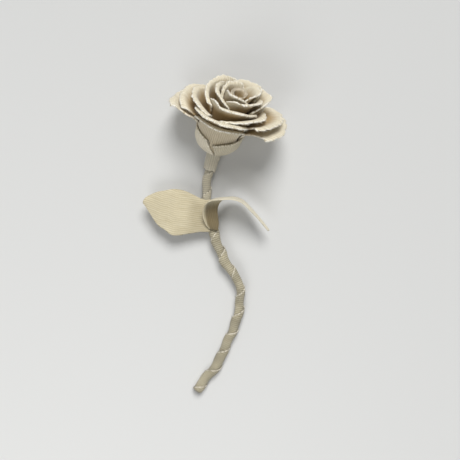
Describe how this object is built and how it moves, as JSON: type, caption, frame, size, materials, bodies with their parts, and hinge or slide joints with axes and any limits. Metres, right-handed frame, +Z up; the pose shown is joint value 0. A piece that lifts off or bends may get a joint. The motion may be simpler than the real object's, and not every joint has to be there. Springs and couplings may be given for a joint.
{
  "type": "cloth rose",
  "caption": "Craft rose of heavy ribbed canvas: rolled bud in spiral petals with curled lips, base covers, leaves and a bent cloth-wrapped wire stem.",
  "frame": {"origin": "centre of the footprint on the surface the rose lies on", "axes": "+Y along the rose from the cut end of the stem to the bloom, +Z up from the surface it lies on, +X to the right seen from above"},
  "size_m": [0.1324, 0.295, 0.0816],
  "materials": {
    "petal_cloth": "heavy ribbed ecru cotton canvas, raw cut edges",
    "cover_cloth": "the same canvas, wrong side out, darker",
    "leaf_cloth": "finer ribbed ecru canvas",
    "stem_cloth": "narrow strip of ribbed canvas wound in a spiral, frayed edges",
    "stem_metal": "plain florist's wire, hidden in the wrapping"
  },
  "bodies": {
    "root": {"rolled_bud": "petal_cloth", "petal_bud_front": "petal_cloth", "petal_bud_right": "petal_cloth", "petal_bud_back": "petal_cloth", "petal_heart_right": "petal_cloth", "petal_heart_back": "petal_cloth", "petal_heart_left": "petal_cloth", "petal_inner_front": "petal_cloth", "petal_inner_right": "petal_cloth", "petal_inner_left": "petal_cloth", "petal_middle_right": "petal_cloth", "petal_middle_left": "petal_cloth", "petal_middle_back": "petal_cloth", "petal_upper_front": "petal_cloth", "petal_upper_right": "petal_cloth", "petal_upper_left": "petal_cloth", "petal_upper_back": "petal_cloth", "petal_outer_left": "petal_cloth", "petal_outer_right": "petal_cloth", "petal_outer_front": "petal_cloth", "petal_back_right": "petal_cloth", "petal_back_left": "petal_cloth", "cover_left": "cover_cloth", "cover_right": "cover_cloth", "leaf_left": "leaf_cloth", "leaf_right": "leaf_cloth", "stem_wire": "stem_metal", "stem_wrap": "stem_cloth", "collar": "stem_cloth"}
  },
  "joints": []
}
